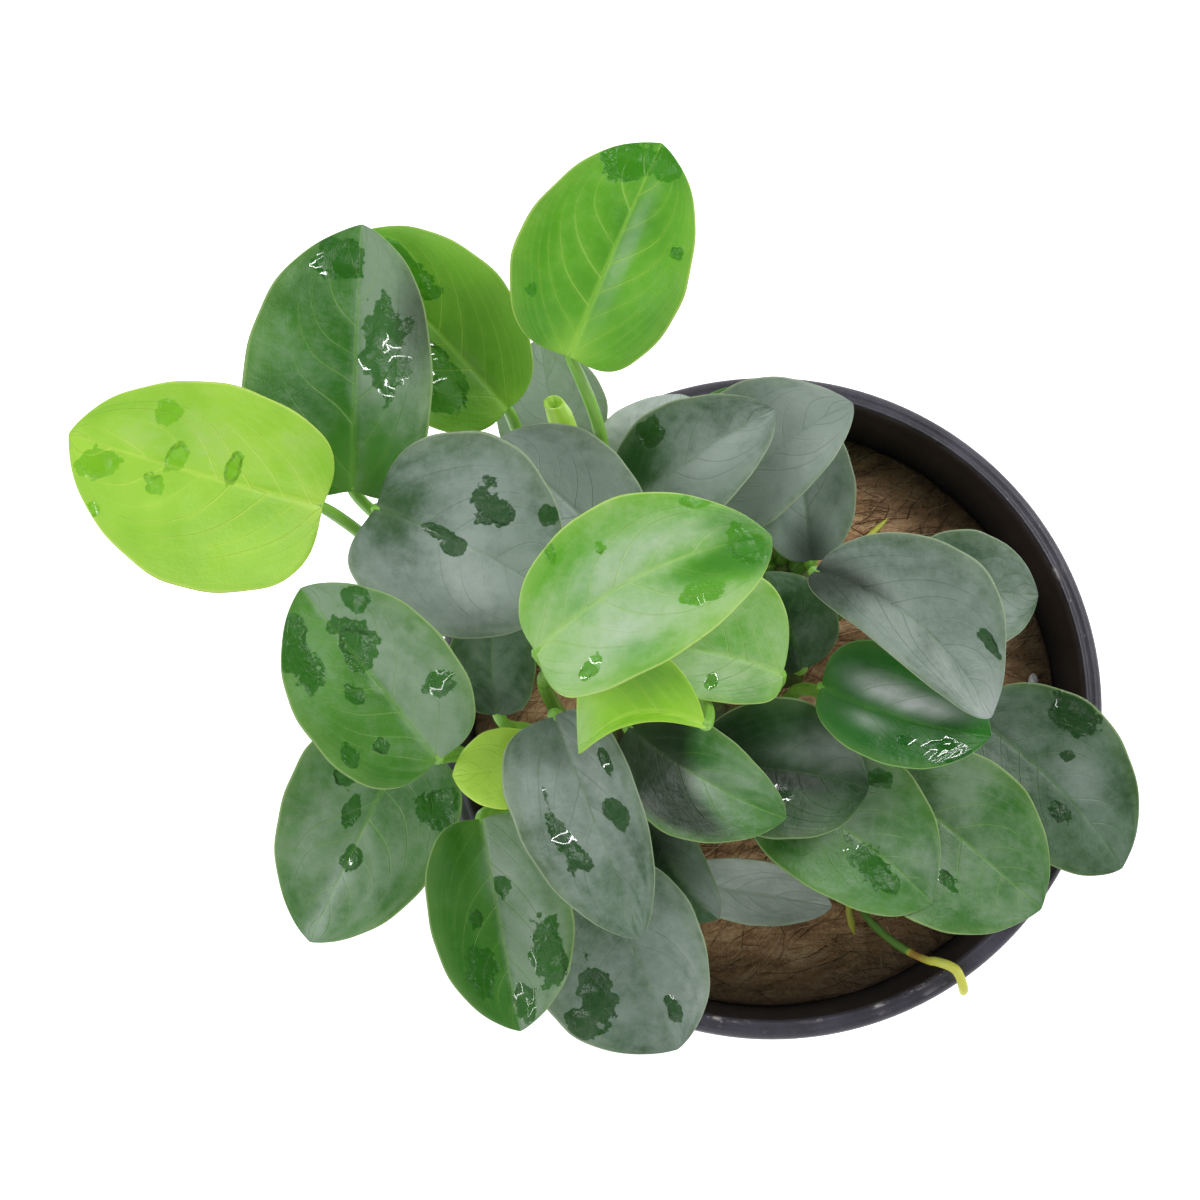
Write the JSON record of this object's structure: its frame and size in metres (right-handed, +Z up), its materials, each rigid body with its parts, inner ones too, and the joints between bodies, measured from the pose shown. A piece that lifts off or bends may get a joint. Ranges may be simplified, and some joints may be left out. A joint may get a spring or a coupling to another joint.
{
  "type": "potted aquarium plant",
  "caption": "Potted broad-leaved aquarium plant: glossy oval leaves on long stalks from a creeping rhizome in fibrous medium, in a round tapered pot with a rolled rim.",
  "frame": {"origin": "centre of the pot's flat underside, on the surface that it stands on", "axes": "+Z up along the pot's axis, +X to the right and +Y to the back of the plant as the picture shows it from above"},
  "size_m": [0.2193, 0.1762, 0.1912],
  "materials": {
    "pot_plastic": "satin near-black plastic, paler where the rim is scuffed",
    "growing_medium": "matted damp brown coir fibre",
    "rhizome": "ringed green-brown rhizome skin",
    "leaf_lime": "satin lime-green young leaf with pale veins",
    "leaf_fresh": "satin fresh-green leaf with pale veins",
    "leaf_green": "satin mid-green leaf with a pale midrib",
    "leaf_dark": "glossy dark-green leaf",
    "leaf_slate": "grey-green leaf with a sheen and a thin pale margin",
    "root": "smooth yellow-green root"
  },
  "bodies": {
    "root": {"pot": "pot_plastic", "growing_medium": "growing_medium", "rhizome_main": "rhizome", "rhizome_back": "rhizome", "rhizome_front": "rhizome", "rhizome_right": "rhizome", "leaf_far_left": "leaf_lime", "leaf_top_left": "leaf_green", "leaf_top_left_behind": "leaf_fresh", "leaf_top": "leaf_fresh", "leaf_behind_top": "leaf_slate", "leaf_left_round": "leaf_slate", "leaf_upper_centre": "leaf_slate", "leaf_upper_right": "leaf_slate", "leaf_upper_folded": "leaf_slate", "leaf_upper_behind": "leaf_slate", "leaf_back_pale": "leaf_slate", "leaf_back_green": "leaf_green", "leaf_centre": "leaf_lime", "leaf_centre_under": "leaf_lime", "leaf_young_centre": "leaf_lime", "leaf_inner_dark": "leaf_dark", "leaf_right_broad": "leaf_slate", "leaf_right_behind": "leaf_green", "leaf_right_glossy": "leaf_dark", "leaf_far_right": "leaf_dark", "leaf_lower_right": "leaf_green", "leaf_lower_green": "leaf_green", "leaf_lower_dark": "leaf_dark", "leaf_lower_centre": "leaf_green", "leaf_lower_left": "leaf_slate", "leaf_left_lower": "leaf_green", "leaf_far_lower_left": "leaf_green", "leaf_bottom_left": "leaf_dark", "leaf_bottom": "leaf_slate", "leaf_inner_left": "leaf_dark", "leaf_inner_bottom": "leaf_dark", "leaf_low_narrow": "leaf_dark", "leaf_young_left": "leaf_lime", "young_leaf_rolled": "leaf_fresh", "root_over_rim": "root", "root_front": "root", "root_back": "root"}
  },
  "joints": []
}
